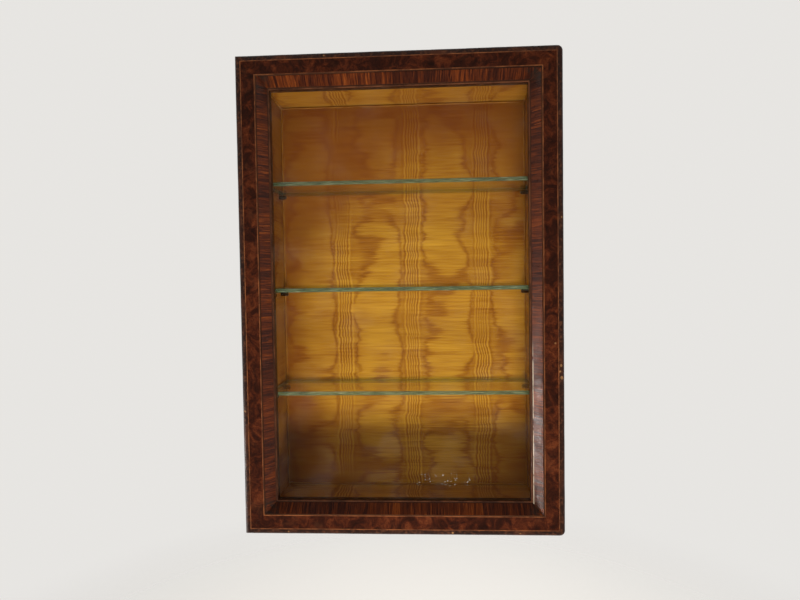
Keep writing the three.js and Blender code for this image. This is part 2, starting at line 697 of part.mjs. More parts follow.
function buildHinges() {
  for (const [name, middle] of Object.entries(HINGE_MIDDLES)) {
    addPart(`hinge_${name}_case_leaf`, hingeLeaf(middle, 1, [-1, 1]), 'brass');
    addPart(`hinge_${name}_door_leaf`, hingeLeaf(middle, -1, [0]), 'brass');
    addPart(`hinge_${name}_pin`, hingePin(middle), 'brass');
  }
}

function buildLock() {
  addPart('lock_case', lockCase(), 'steel');
  addPart('lock_bolt', lockBolt(), 'steel');
  addPart('lock_follower', lockFollower(), 'steel');
  addPart('lock_hook_plate', lockHookPlate(), 'brass');
  addPart('lock_escutcheon', lockEscutcheon(), 'brass');
}

function buildHangers() {
  addPart('hanger_left', hangerPlate(-1), 'brass');
  addPart('hanger_right', hangerPlate(1), 'brass');
}

buildCase();
buildLinings();
buildGimp();
buildShelves();
buildDoor();
buildHinges();
buildLock();
buildHangers();

export default showcase;
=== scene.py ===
"""Wall-hung display case with a glazed, veneered door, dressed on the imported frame."""
import json
import math

import bmesh
import bpy
from mathutils import Euler, Matrix, Vector, noise

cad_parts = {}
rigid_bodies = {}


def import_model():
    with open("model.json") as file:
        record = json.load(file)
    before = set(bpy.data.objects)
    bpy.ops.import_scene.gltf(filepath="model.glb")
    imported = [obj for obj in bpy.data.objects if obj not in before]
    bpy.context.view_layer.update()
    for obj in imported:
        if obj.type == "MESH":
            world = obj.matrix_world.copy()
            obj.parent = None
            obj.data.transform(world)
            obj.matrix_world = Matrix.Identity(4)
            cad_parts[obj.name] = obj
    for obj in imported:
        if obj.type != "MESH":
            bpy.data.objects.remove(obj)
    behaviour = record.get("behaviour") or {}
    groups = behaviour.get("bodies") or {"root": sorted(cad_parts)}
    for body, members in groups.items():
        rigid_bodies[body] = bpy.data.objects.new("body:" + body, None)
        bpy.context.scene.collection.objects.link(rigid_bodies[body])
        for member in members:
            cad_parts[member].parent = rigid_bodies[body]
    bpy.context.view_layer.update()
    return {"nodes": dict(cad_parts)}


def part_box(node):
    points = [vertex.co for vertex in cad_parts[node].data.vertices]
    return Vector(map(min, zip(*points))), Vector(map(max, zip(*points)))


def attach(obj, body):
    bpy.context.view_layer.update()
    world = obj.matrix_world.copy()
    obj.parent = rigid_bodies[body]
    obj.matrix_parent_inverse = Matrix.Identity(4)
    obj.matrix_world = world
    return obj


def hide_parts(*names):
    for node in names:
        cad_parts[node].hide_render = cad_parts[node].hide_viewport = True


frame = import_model()
NODES = frame["nodes"]
SCENE = bpy.context.scene
MM = 0.001
X, Y, Z = range(3)

# ----- measures taken from the frame -----


def low(node):
    return Vector(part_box(node)[0])


def high(node):
    return Vector(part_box(node)[1])


def middle(node):
    return (low(node) + high(node)) / 2


HALF_WIDTH = high("edge_moulding_right").x
HALF_HEIGHT = high("edge_moulding_top").z
DOOR_FRONT = low("edge_moulding_top").y
DOOR_BACK = high("door_core_top").y
SHELVES = ("upper", "middle", "lower")
SIDES = {"left": (-1, 0), "right": (1, 0), "top": (0, 1), "bottom": (0, -1)}

# ----- nodes -----


def feed(tree, target, value):
    """Links an output to an input, or sets the input to a plain value."""
    if isinstance(value, bpy.types.NodeSocket):
        tree.links.new(value, target)
    else:
        target.default_value = value


def set_stops(ramp, stops):
    for position, _ in stops[2:]:
        ramp.elements.new(position)
    for element, (position, colour) in zip(ramp.elements, stops):
        element.position = position
        element.color = colour


def add_node(tree, kind, settings=None, inputs=None):
    """Adds a node to a tree: its settings go first, then its inputs."""
    added = tree.nodes.new(kind)
    for name, value in (settings or {}).items():
        if name == "stops":
            set_stops(added.color_ramp, value)
        else:
            setattr(added, name, value)
    for name, value in (inputs or {}).items():
        feed(tree, added.inputs[name], value)
    return added


# ----- camera, lamps and world -----


CAMERA_PLACE = (0.037, -0.850, 0.0186)
CAMERA_TURN = (88.098, 0.839, 2.922)     # degrees about x, y and z
FOCAL_LENGTH = 25.2                      # millimetres, on a sensor 36 mm wide
FLOOR_LEVEL = -0.80


def add_camera():
    lens = bpy.data.cameras.new("camera")
    lens.lens = FOCAL_LENGTH
    lens.sensor_width = 36
    lens.clip_start = 0.01
    camera = bpy.data.objects.new("camera", lens)
    camera.location = CAMERA_PLACE
    camera.rotation_euler = Euler([math.radians(angle) for angle in CAMERA_TURN])
    SCENE.collection.objects.link(camera)
    SCENE.camera = camera


def add_lamp(name, place, aim, size, power, spread=180, glossy=True):
    """A round area lamp: power in watts, and spread in degrees."""
    lamp = bpy.data.lights.new(name, "AREA")
    lamp.shape = "DISK"
    lamp.size = size
    lamp.energy = power
    lamp.spread = math.radians(spread)
    lamp.color = (1.0, 0.98, 0.95)
    holder = bpy.data.objects.new(name, lamp)
    holder.location = place
    towards = Vector(aim) - Vector(place)
    holder.rotation_euler = towards.to_track_quat("-Z", "Y").to_euler()
    holder.visible_camera = False
    holder.visible_glossy = glossy
    SCENE.collection.objects.link(holder)


def add_lamps():
    add_lamp("key_low", (0.06, -0.79, -0.75), (0, -0.06, 0.05),
             size=0.36, power=2.6, spread=75, glossy=False)
    add_lamp("front_broad", (-0.15, -1.75, 0.30), (0, 0, 0),
             size=1.4, power=2.5, spread=90, glossy=False)
    add_lamp("side_sheen", (-1.4, -0.28, -0.64), (0.17, -0.13, -0.20),
             size=0.26, power=1.6, spread=60)
    add_lamp("fill_behind", (0.3, 1.6, 0.8), (0, 0, 0), size=1.6, power=16)
    add_lamp("floor_wash", (0, 0, -0.42), (0, 0.001, FLOOR_LEVEL),
             size=2.2, power=7.0, spread=150, glossy=False)


def add_world():
    """Pale where it is seen, directly or in gloss or glass, and a dimmer fill elsewhere."""
    world = bpy.data.worlds.new("studio")
    world.use_nodes = True
    tree = world.node_tree
    tree.nodes.clear()
    seen = add_node(tree, "ShaderNodeBackground", inputs={"Color": (0.80, 0.785, 0.76, 1)})
    fill = add_node(tree, "ShaderNodeBackground", inputs={
        "Color": (1, 0.985, 0.96, 1), "Strength": 0.20})
    rays = add_node(tree, "ShaderNodeLightPath").outputs
    share = rays["Is Camera Ray"]
    for ray in ("Is Glossy Ray", "Is Transmission Ray"):
        either = add_node(tree, "ShaderNodeMath", {"operation": "MAXIMUM"}, {
            0: share, 1: rays[ray]})
        share = either.outputs[0]
    mix = add_node(tree, "ShaderNodeMixShader", inputs={
        0: share, 1: fill.outputs[0], 2: seen.outputs[0]})
    add_node(tree, "ShaderNodeOutputWorld", inputs={0: mix.outputs[0]})
    SCENE.world = world


# ----- shader building -----


class Socket:
    """A node's output. Arithmetic on it adds Math nodes."""

    def __init__(self, finish, output):
        self.finish = finish
        self.output = output

    def math(self, operation, *others):
        inputs = dict(enumerate((self, *others)))
        return self.finish.node("ShaderNodeMath", {"operation": operation}, inputs)

    def __add__(self, other):
        return self.math("ADD", other)

    def __mul__(self, other):
        return self.math("MULTIPLY", other)

    def __sub__(self, other):
        return self.math("SUBTRACT", other)

    def __rsub__(self, other):
        return (self * -1) + other

    def __truediv__(self, other):
        return self.math("DIVIDE", other)

    def __pow__(self, other):
        return self.math("POWER", other)

    __radd__ = __add__
    __rmul__ = __mul__

    def fade(self, start, end, low=0.0, high=1.0):
        """A smooth step from low, where this is start, to high, where it is end."""
        settings = {"interpolation_type": "SMOOTHSTEP"}
        inputs = {0: self, 1: start, 2: end, 3: low, 4: high}
        return self.finish.node("ShaderNodeMapRange", settings, inputs)

    def ramp(self, *stops):
        """The colour at this value on a ramp of (position, colour) stops."""
        return self.finish.node("ShaderNodeValToRGB", {"stops": stops}, {0: self})


class Finish:
    """A material being built round one Principled shader, its body."""

    def __init__(self, name):
        self.material = bpy.data.materials.new(name)
        self.material.use_nodes = True
        self.tree = self.material.node_tree
        self.shader = self.tree.nodes["Principled BSDF"]
        self.body = Socket(self, self.shader.outputs[0])
        self.place = self.node("ShaderNodeTexCoord", output="Object")
        parts = self.node("ShaderNodeSeparateXYZ", inputs={0: self.place}).output.node
        self.x, self.y, self.z = (Socket(self, output) for output in parts.outputs)

    def node(self, kind, settings=None, inputs=None, output=0):
        """Adds a node, whose inputs may be outputs of other nodes, and gives one output."""
        plain = {name: getattr(value, "output", value) for name, value in (inputs or {}).items()}
        return Socket(self, add_node(self.tree, kind, settings, plain).outputs[output])

    def point(self, x, y, z):
        return self.node("ShaderNodeCombineXYZ", inputs={0: x, 1: y, 2: z})

    def stretched(self, x, y, z, at=None):
        inputs = {0: at or self.place, 1: (x, y, z)}
        return self.node("ShaderNodeVectorMath", {"operation": "MULTIPLY"}, inputs)

    def shaken(self, scale, amount):
        """The place, moved by up to about amount metres by noise."""
        shake = self.node("ShaderNodeTexNoise", inputs={
            "Vector": self.place, "Scale": scale}, output="Color")
        moved = {0: self.place, 1: self.stretched(amount, amount, amount, shake)}
        return self.node("ShaderNodeVectorMath", {"operation": "ADD"}, moved)

    def clouds(self, scale, detail=2.0, roughness=0.5, distortion=0.0, at=None):
        inputs = {
            "Vector": at or self.place, "Scale": scale, "Detail": detail,
            "Roughness": roughness, "Distortion": distortion,
        }
        return self.node("ShaderNodeTexNoise", inputs=inputs)

    def cells(self, scale, at=None, output="Distance"):
        inputs = {"Vector": at or self.place, "Scale": scale}
        return self.node("ShaderNodeTexVoronoi", inputs=inputs, output=output)

    def blend(self, share, first, second, how="MIX"):
        """The second colour over the first, by a share from 0 to 1."""
        settings = {"data_type": "RGBA", "blend_type": how}
        return self.node("ShaderNodeMix", settings, {0: share, 6: first, 7: second}, 2)

    def surface(self, share, first, second):
        """Makes the material's surface the second shader over the first, by a share."""
        mixed = self.node("ShaderNodeMixShader", inputs={0: share, 1: first, 2: second})
        feed(self.tree, self.tree.nodes["Material Output"].inputs["Surface"], mixed.output)

    def shade(self, **sockets):
        for name, value in sockets.items():
            target = self.shader.inputs[name.replace("_", " ")]
            feed(self.tree, target, getattr(value, "output", value))

    def bump(self, height, depth):
        """Raises the surface by height, from 0 to 1, times depth in metres."""
        inputs = {"Height": height, "Distance": depth, "Strength": 1.0}
        self.shade(Normal=self.node("ShaderNodeBump", inputs=inputs))


def srgb(red, green, blue):
    """A linear colour from sRGB parts of 0 to 255."""
    def linear(part):
        part /= 255
        return part / 12.92 if part <= 0.04045 else ((part + 0.055) / 1.055) ** 2.4
    return (linear(red), linear(green), linear(blue), 1.0)


# ----- finishes -----

DUST = srgb(176, 160, 138)
BARE_WOOD = srgb(168, 122, 78)
CHIPS = [   # x, z, radius and depth, in millimetres
    (202.8, -90, 2.2, 0.8), (201.2, -98, 1.8, 0.4), (203.4, -106, 2.6, 0.9),
    (195.5, -62, 1.6, 0.3), (204.5, 96, 1.6, 0.6), (-203.6, -148, 1.8, 0.7),
    (-92, 305.5, 1.6, 0.5), (64, -305.8, 2.0, 0.7), (150, -306.0, 1.3, 0.5),
    (-150, -305.6, 1.4, 0.5),
]


def wear_spots(finish):
    """A ragged mask over the chips."""
    ragged = finish.clouds(420, 3.0) * 0.0024
    total = None
    for x, z, radius, _ in CHIPS:
        dx = (finish.x - x * MM) ** 2
        dz = (finish.z - z * MM) ** 2
        far = (dx + dz) ** 0.5 + ragged
        mark = far.fade((radius + 1.0) * MM, (radius + 0.3) * MM)
        total = mark if total is None else total.math("MAXIMUM", mark)
    return total * finish.y.fade(DOOR_FRONT + 0.007, DOOR_FRONT + 0.004)


def burr_finish():
    """Dark, polished burr veneer: soft curls, small knots, speckle and paler clouds."""
    f = Finish("burr_veneer")
    paler = f.clouds(46, 3.0, 0.6)
    swirl = f.clouds(62, 5.0, 0.66, 0.9)
    curl = f.clouds(230, 3.0, 0.55, 1.4)
    eyes = f.cells(140, f.shaken(120.0, 0.006))
    base = swirl.ramp(
        (0.32, srgb(28, 11, 6)), (0.46, srgb(46, 19, 10)),
        (0.58, srgb(74, 33, 17)), (0.72, srgb(98, 49, 26)),
    )
    figured = f.blend(curl.fade(0.50, 0.70) * 0.34, base, srgb(26, 10, 6))
    knotted = f.blend(eyes.fade(0.20, 0.06) * 0.4, figured, srgb(30, 12, 7))
    grain = f.clouds(560, 3.0, 0.7)
    speckled = f.blend(grain.fade(0.50, 0.66) * 0.5, knotted, srgb(24, 10, 6))
    clouded = f.blend(paler.fade(0.55, 0.80) * 0.14, speckled, srgb(120, 74, 48))
    scratches = f.clouds(1, 2.0, 0.5, at=f.stretched(900, 900, 60))
    f.shade(
        Base_Color=f.blend(wear_spots(f) * 0.4, clouded, BARE_WOOD),
        Roughness=f.clouds(60, 3.0).fade(0.3, 0.75, 0.34, 0.54),
        Specular_IOR_Level=0.05,
    )
    f.bump(curl * 0.6 + scratches * 0.4, 0.00012)
    return f.material


LEAF_LENGTH = 0.052      # of each leaf of veneer along a rail
WAX_REACH = 0.056        # how far in from the door's edges the wax at a mitre reaches
SLOPE = ((28.0, 0.35), (38.6, 12.0))     # the rails' slope, from its outer to its inner arris


def crossband_finish(name, along, gloss):
    """Polished veneer laid in leaves with its grain across the rail, which runs along an axis.

    Old wax darkens the mitres, and the upright rail on the right is rubbed at its inner arris."""
    f = Finish(name)
    run, across = (f.x, f.z) if along == "x" else (f.z, f.x)
    drift = f.clouds(34, 2.0) * 0.0025
    lane = f.point(run + drift, across * 0.05, f.y * 0.05)
    fine = f.clouds(1300, 2.0, 0.6, at=lane)
    blocks = f.cells(560, lane, output="Color")
    block = f.node("ShaderNodeSeparateColor", inputs={0: blocks})
    broad = f.clouds(17, 2.0, 0.6, at=lane)
    tone = block * 0.30 + fine * 0.62 + broad * 0.60 - 0.26
    colour = tone.ramp(
        (0.16, srgb(26, 11, 8)), (0.38, srgb(48, 20, 11)), (0.54, srgb(72, 31, 13)),
        (0.70, srgb(100, 46, 17)), (0.86, srgb(138, 72, 27)),
    )
    leaf = (run / LEAF_LENGTH).math("FRACT")
    joint = leaf.math("PINGPONG", 0.5).fade(0.004, 0.010, 1.0, 0.0)
    jointed = f.blend(joint * 0.7, colour, srgb(30, 14, 9))
    beside = (f.x.math("ABSOLUTE") - (HALF_WIDTH - WAX_REACH)).math("MAXIMUM", 0.0)
    above = (f.z.math("ABSOLUTE") - (HALF_HEIGHT - WAX_REACH)).math("MAXIMUM", 0.0)
    waxed = (beside * above).fade(0.00010, 0.0005) * f.clouds(110, 3.0).fade(0.36, 0.58)
    pores = f.clouds(1, 2.0, 0.6, at=f.point(run * 2600, across * 160, f.y * 160))
    dull = f.blend(waxed * 0.8, jointed, srgb(34, 27, 22))
    if along == "z":
        arris = HALF_WIDTH - SLOPE[1][0] * MM
        rubbed = (f.x.fade(arris + 0.0012, arris + 0.0006) * f.x.fade(0, 0.01)
                  * f.z.fade(-0.05, -0.10) * f.clouds(90, 3.0).fade(0.36, 0.50))
        dull = f.blend(rubbed, dull, DUST)
    f.shade(
        Base_Color=f.blend(pores.fade(0.62, 0.72) * 0.35, dull, srgb(28, 13, 9)),
        Roughness=f.clouds(70, 3.0).fade(0.3, 0.75, 0.16, 0.36) + fine * 0.22,
        Specular_IOR_Level=gloss,
    )
    f.bump(fine * 0.5 + pores * 0.5, 0.00022)
    return f.material


def edge_finish():
    """Nearly black polish, rubbed brown on the round of the moulding."""
    f = Finish("ebonised_edge")
    rubbed = f.clouds(30, 4.0, 0.65)
    streaks = f.clouds(1, 3.0, 0.6, at=f.stretched(240, 60, 240))
    colour = rubbed.ramp(
        (0.32, srgb(22, 11, 8)), (0.52, srgb(38, 19, 12)), (0.72, srgb(72, 38, 23)))
    front = f.y.fade(DOOR_FRONT + 0.0035, DOOR_FRONT + 0.0002)
    rub = front * streaks.fade(0.45, 0.75) * 0.6
    worn = f.blend(rub, colour, srgb(96, 58, 38))
    f.shade(
        Base_Color=f.blend(wear_spots(f) * 0.5, worn, BARE_WOOD),
        Roughness=f.clouds(50, 3.0).fade(0.3, 0.7, 0.32, 0.54),
        Specular_IOR_Level=0.12,
    )
    f.bump(f.clouds(260, 4.0, 0.6), 0.00018)
    return f.material


def inlay_finish(name, pale, dark):
    """Boxwood line, stained in places."""
    f = Finish(name)
    stain = f.clouds(44, 4.0, 0.7)
    specks = f.clouds(600, 2.0)
    colour = f.blend(stain.fade(0.36, 0.66), dark, pale)
    f.shade(
        Base_Color=f.blend(specks.fade(0.55, 0.7) * 0.5, colour, srgb(70, 42, 26)),
        Roughness=0.36,
        Specular_IOR_Level=0.15,
    )
    f.bump(specks, 0.00006)
    return f.material


def board_finish(name, grain, shades, roughness=(0.34, 0.54)):
    """Plain board whose grain runs along the given axis."""
    f = Finish(name)
    along = {"x": (0.05, 1, 1), "y": (1, 0.05, 1), "z": (1, 1, 0.05)}[grain]
    lane = f.stretched(*along)
    bands = f.clouds(60, 4.0, 0.6, 1.2, at=lane)
    pores = f.clouds(1500, 2.0, 0.6, at=f.stretched(*[0.03 if s < 1 else 1 for s in along]))
    cloud = f.clouds(9, 2.0)
    dark, mid, pale = shades
    colour = (bands * 0.75 + cloud * 0.3 - 0.03).ramp((0.32, dark), (0.5, mid), (0.68, pale))
    f.shade(
        Base_Color=f.blend(pores.fade(0.56, 0.68) * 0.5, colour, dark),
        Roughness=f.clouds(40, 3.0).fade(0.3, 0.7, *roughness),
        Specular_IOR_Level=0.12,
    )
    f.bump(pores * 0.6 + bands * 0.4, 0.0002)
    return f.material


WALNUT = (srgb(36, 20, 13), srgb(64, 37, 23), srgb(96, 60, 38))
PINE = (srgb(96, 66, 38), srgb(140, 104, 64), srgb(170, 134, 88))


FOLD_SPACING = 0.104     # between the folds that the watered lines follow
RIB_PITCH = 0.0009


def watering(f, u, v):
    """The tone of watered silk and its watered lines, where fine ribs repeat along v.

    The watering follows the contours of a slow height field. Every fold of the cloth left a
    steep step in it, which packs the contours into a cluster of upright lines. Pale loops
    stand in the gaps between clusters, and each group of ribs, drawn aside a little, frays
    their edges."""
    rib_group = f.clouds(1, 3.0, 0.6, at=f.point(u * 5, v * 420, 0.5)) - 0.5
    sway = f.clouds(1, 1.0, 0.5, at=f.point(u * 7, v * 17, 0.3)) - 0.5
    kink = f.clouds(1, 2.0, 0.5, at=f.point(u * 18, v * 70, 0.7)) - 0.5
    drawn = u + sway * 0.013 + kink * 0.008 + rib_group * 0.0022
    repeat = drawn / FOLD_SPACING + 0.375
    part = repeat.math("FRACT")
    slow = f.clouds(1, 1.0, 0.4, at=f.point(u * 15, v * 7, 1.9))
    height = part.fade(0.35, 0.65) * 6 + slow * 2.4
    lines = (height * math.tau).math("SINE") * 0.5 + 0.5
    cluster = part.fade(0.33, 0.42) * part.fade(0.67, 0.58)
    gap = (repeat + 0.5).math("FLOOR")
    from_gap = (repeat + 0.5).math("FRACT") - 0.5
    lift = f.clouds(1, 1.0, 0.5, at=f.point(gap * 3.7 + u * 14, v * 15, 7.7))
    loop = lift + rib_group * 0.30 + kink * 0.30 + 0.16 - from_gap ** 4 * 16
    pale = loop.fade(0.54, 0.66)
    outline = loop.fade(0.44, 0.52) * loop.fade(0.60, 0.54)
    bands = f.clouds(1, 2.0, 0.6, at=f.point(u * 20, v * 420, 4.1))
    broad = f.clouds(1, 2.0, 0.6, at=f.point(u * 6, v * 60, 2.1))
    strength = f.clouds(1, 1.0, 0.5, at=f.point(u * 18, v * 12, 9.2)).fade(0.34, 0.60, 0.4, 1)
    tone = (bands * 0.42 + broad * 0.30 + 0.10
            + pale * 0.08 - outline * 0.11 * (1 - cluster)
            + (0.5 - lines) * strength * (cluster * 0.29 + 0.04))
    return tone, lines


def silk_finish(name, across, up, aged):
    """Watered gold silk with its ribs across up. The last argument sets how far it darkens and
    browns away from a centre a little low and right of the middle: partly browning with age,
    partly painted shade falling off towards the rim, the top and the left.
    """
    f = Finish(name)
    u, v = getattr(f, across), getattr(f, up)
    tone, lines = watering(f, u, v)
    gold = tone.ramp(
        (0.16, srgb(116, 58, 10)), (0.38, srgb(166, 104, 28)),
        (0.58, srgb(203, 144, 44)), (0.80, srgb(230, 174, 62)),
    )
    mottle = f.clouds(1, 3.0, 0.6, at=f.point(f.x * 11, f.y * 11, f.z * 8)) - 0.5
    # Painted shade, partly browning: the silk is darker and browner away from a centre low and
    # right of the middle, so the rim, the top, the left and the left wall come out darker as if
    # shaded.
    out = ((f.x - 0.035) / 0.20) ** 2 + ((f.z + 0.06) / 0.28) ** 2 + mottle * 1.1
    colour = f.blend(out.fade(0.30, 1.25) * aged, gold, srgb(118, 52, 12))
    ribs = (v * (math.tau / RIB_PITCH)).math("SINE") * 0.5 + 0.5
    threads = f.clouds(1, 1.0, 0.5, at=f.point(u * 900, v * 60, 0))
    f.shade(
        Base_Color=f.blend(ribs * 0.14, colour, srgb(112, 58, 12)),
        Roughness=lines * 0.10 + 0.42,
        Specular_IOR_Level=0.18,
        Sheen_Weight=0.06,
        Sheen_Roughness=0.4,
        Sheen_Tint=srgb(255, 206, 130),
    )
    f.bump(ribs * 0.75 + threads * 0.25, 0.00022)
    return f.material


def cord_finish():
    f = Finish("gold_cord")
    worn = f.clouds(60, 3.0)
    fibres = f.clouds(2600, 2.0)
    gold = worn.ramp((0.3, srgb(150, 92, 30)), (0.7, srgb(188, 128, 52)))
    f.shade(
        Base_Color=f.blend(fibres.fade(0.35, 0.7) * 0.4, gold, srgb(112, 64, 22)),
        Roughness=0.5,
        Specular_IOR_Level=0.1,
    )
    f.bump(fibres, 0.00012)
    return f.material


def metal_finish(name, shades, roughness, patina):
    """Aged metal: mottled, with patina that dulls it and fine rubbed scratches."""
    f = Finish(name)
    darker, lighter, dull = shades
    mottle = f.clouds(150, 4.0, 0.6)
    spots = f.clouds(420, 3.0, 0.6)
    scratch = f.clouds(1, 2.0, 0.5, at=f.stretched(5200, 5200, 320))
    tarnish = (mottle * 0.6 + spots * 0.4).fade(0.62 - patina * 0.3, 0.66)
    f.shade(
        Base_Color=f.blend(tarnish, mottle.ramp((0.3, darker), (0.7, lighter)), dull),
        Metallic=1 - tarnish * 0.55,
        Roughness=roughness + tarnish * 0.22 + scratch.fade(0.5, 0.7) * 0.08,
    )
    f.bump(spots * 0.5 + scratch * 0.5, 0.00008)
    return f.material


def clear_finish(name, tint, least, smears, specks=0.0):
    """Clear glass that lets lamps through: a tinted opening under a gloss.

    The gloss is at its least face on and grows at a slant. Specks lie low on the glass."""
    f = Finish(name)
    smear = f.clouds(26, 3.0, 0.6).fade(0.45, 0.8) * smears
    f.shade(Base_Color=srgb(226, 232, 224), Roughness=smear * 0.5 + 0.03,
            Specular_IOR_Level=0.0)
    gloss = f.node("ShaderNodeBsdfGlossy", inputs={
        "Color": (1, 1, 1, 1), "Roughness": 0.03})
    opening = f.node("ShaderNodeBsdfTransparent", inputs={"Color": tint})
    facing = f.node("ShaderNodeLayerWeight", inputs={"Blend": 0.5}, output="Facing")
    glossy = facing ** 5 * 0.7 + least
    clear = f.node("ShaderNodeMixShader", inputs={0: glossy, 1: opening, 2: gloss})
    low_strip = (f.z.fade(-0.233, -0.237) * f.z.fade(-0.252, -0.247)
                 * f.x.fade(0.01, 0.03) * f.x.fade(0.10, 0.08))
    speck = f.cells(320).fade(0.22, 0.13) * f.clouds(110).fade(0.52, 0.56) * low_strip
    f.surface(smear * 0.10 + speck * specks, clear, f.body)
    return f.material


def glass_edge_finish(name, solid):
    """The green edge of plate glass. Solid is its opacity in dark streaks and in light ones."""
    f = Finish(name)
    streaks = f.clouds(1, 3.0, 0.6, at=f.stretched(70, 70, 900))
    colour = streaks.ramp((0.3, srgb(50, 62, 42)), (0.52, srgb(84, 98, 68)),
                          (0.72, srgb(150, 162, 130)))
    f.shade(Base_Color=colour, Roughness=0.12, Specular_IOR_Level=0.5)
    opening = f.node("ShaderNodeBsdfTransparent", inputs={"Color": srgb(190, 204, 160)})
    f.surface(streaks.fade(0.3, 0.7, *solid), opening, f.body)
    return f.material


# Metals list a darker and a lighter shade and the colour of their patina.
BRASS = (srgb(124, 98, 58), srgb(168, 138, 86), srgb(84, 62, 36))
DARK_BRASS = (srgb(70, 50, 32), srgb(104, 78, 48), srgb(40, 28, 20))
STEEL = (srgb(120, 116, 110), srgb(168, 164, 156), srgb(84, 66, 52))

FINISHES = {
    "burr": burr_finish(),
    "crossband_x": crossband_finish("crossband_level", "x", 0.06),
    "crossband_z": crossband_finish("crossband_upright", "z", 0.18),
    "edge": edge_finish(),
    "line": inlay_finish("boxwood_line", srgb(130, 76, 42), srgb(72, 38, 21)),
    "sight": inlay_finish("sight_bead_wood", srgb(98, 58, 36), srgb(54, 30, 20)),
    "walnut_x": board_finish("walnut_level", "x", WALNUT),
    "walnut_z": board_finish("walnut_upright", "z", WALNUT),
    "pine": board_finish("aged_pine", "z", PINE, (0.6, 0.8)),
    # The last figure of each silk is its share of browning and painted shade away from the
    # centre.
    "silk_back": silk_finish("silk_back", "x", "z", aged=0.74),
    "silk_side": silk_finish("silk_side", "y", "z", aged=0.42),
    "silk_level": silk_finish("silk_level", "x", "y", aged=0.25),
    "cord": cord_finish(),
    "pane": clear_finish("pane_glass", (0.975, 0.985, 0.97, 1),
                         least=0.003, smears=0.10, specks=0.6),
    "shelf": clear_finish("shelf_glass", (0.975, 0.985, 0.95, 1), least=0.02, smears=0.12),
    "glass_edge": glass_edge_finish("glass_edge", (0.82, 0.62)),
    "glass_back": glass_edge_finish("glass_back_edge", (0.20, 0.08)),
    "brass": metal_finish("aged_brass", BRASS, roughness=0.30, patina=0.35),
    "dark_brass": metal_finish("dark_brass", DARK_BRASS, roughness=0.34, patina=0.6),
    "steel": metal_finish("aged_steel", STEEL, roughness=0.34, patina=0.4),
}

# ----- pieces -----

SAME_POINT = 0.002 * MM

def mesh_from(form, name, sharp):
    """A mesh with outward faces from a bmesh, smooth up to the sharp angle in degrees."""
    bmesh.ops.recalc_face_normals(form, faces=form.faces)
    mesh = bpy.data.meshes.new(name)
    form.to_mesh(mesh)
    form.free()
    mesh.shade_smooth()
    mesh.set_sharp_from_angle(angle=math.radians(sharp))
    return mesh


def add_piece(name, mesh, body, slot, stands_for, *finishes):
    piece = bpy.data.objects.new(name, mesh)
    SCENE.collection.objects.link(piece)
    for finish in finishes:
        mesh.materials.append(FINISHES[finish])
    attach(piece, body)
    if stands_for:
        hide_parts(*stands_for)
    return piece


def eased_copy(node, body, width, slot, finish=None):
    """A merged copy of a CAD node with its arrises eased by width millimetres."""
    form = bmesh.new()
    form.from_mesh(NODES[node].data)
    bmesh.ops.remove_doubles(form, verts=form.verts, dist=SAME_POINT)
    flat = math.radians(1.0)
    bmesh.ops.dissolve_limit(form, angle_limit=flat, verts=form.verts, edges=form.edges)
    piece = add_piece(f"{node}_eased", mesh_from(form, f"{node}_eased", 30),
                      body, slot, [node], finish or slot)
    arris = piece.modifiers.new("arris", "BEVEL")
    arris.width = width * MM
    arris.segments = 2
    arris.limit_method = "ANGLE"
    arris.angle_limit = math.radians(35)
    arris.use_clamp_overlap = True
    arris.harden_normals = True
    return piece


# ----- door rails -----

CORNER_RADII = {-1: 1.5 * MM, 1: 7.0 * MM}     # hinge side and opening side
LEAST_RADIUS = 0.02 * MM                       # of a corner inside the door's edge
ARC_STEPS = 6
MERGE_WITHIN = 0.04 * MM


def corner_arc(sign_x, sign_z, inward, from_mitre):
    """Half a rounded corner, from the mitre to the straight run or back.

    Each of its points is given as a centre, a radius and an angle."""
    radius = CORNER_RADII[sign_x]
    inset = max(radius, inward)
    centre = Vector((sign_x * (HALF_WIDTH - inset), 0, sign_z * (HALF_HEIGHT - inset)))
    left = max(radius - inward, LEAST_RADIUS)
    points = [(centre, left, math.pi / 4 * (1 - step / ARC_STEPS))
              for step in range(ARC_STEPS + 1)]
    return points if from_mitre else points[::-1]


def rail_line(side, inward, steps):
    """Points along a rail at one distance in from the door's edge, mitre to mitre."""
    out_x, out_z = SIDES[side]
    ends = [(-1, out_z), (1, out_z)] if out_z else [(out_x, -1), (out_x, 1)]
    arcs = []
    for index, (sign_x, sign_z) in enumerate(ends):
        arc = []
        for centre, radius, angle in corner_arc(sign_x, sign_z, inward, index == 0):
            lean, rise = math.sin(angle), math.cos(angle)
            shift = (sign_x * lean, sign_z * rise) if out_z else (sign_x * rise, sign_z * lean)
            arc.append(centre + Vector((shift[0] * radius, 0, shift[1] * radius)))
        arcs.append(arc)
    start, end = arcs[0][-1], arcs[1][0]
    run = [start.lerp(end, step / steps) for step in range(1, steps)]
    return arcs[0] + run + arcs[1]


def rail_rings(side, section, steps, shape):
    """The rings of points of a rail: one ring of section points at each step along it.

    Shape wears or cockles each point, which it is given with its place in the section."""
    lines = []
    for inward, deep in section:
        line = rail_line(side, inward * MM, steps)
        lines.append([point + Vector((0, DOOR_FRONT + deep * MM, 0)) for point in line])
    rings = [[line[i] for line in lines] for i in range(len(lines[0]))]
    return [[shape(p, *section[i]) for i, p in enumerate(ring)] for ring in rings]


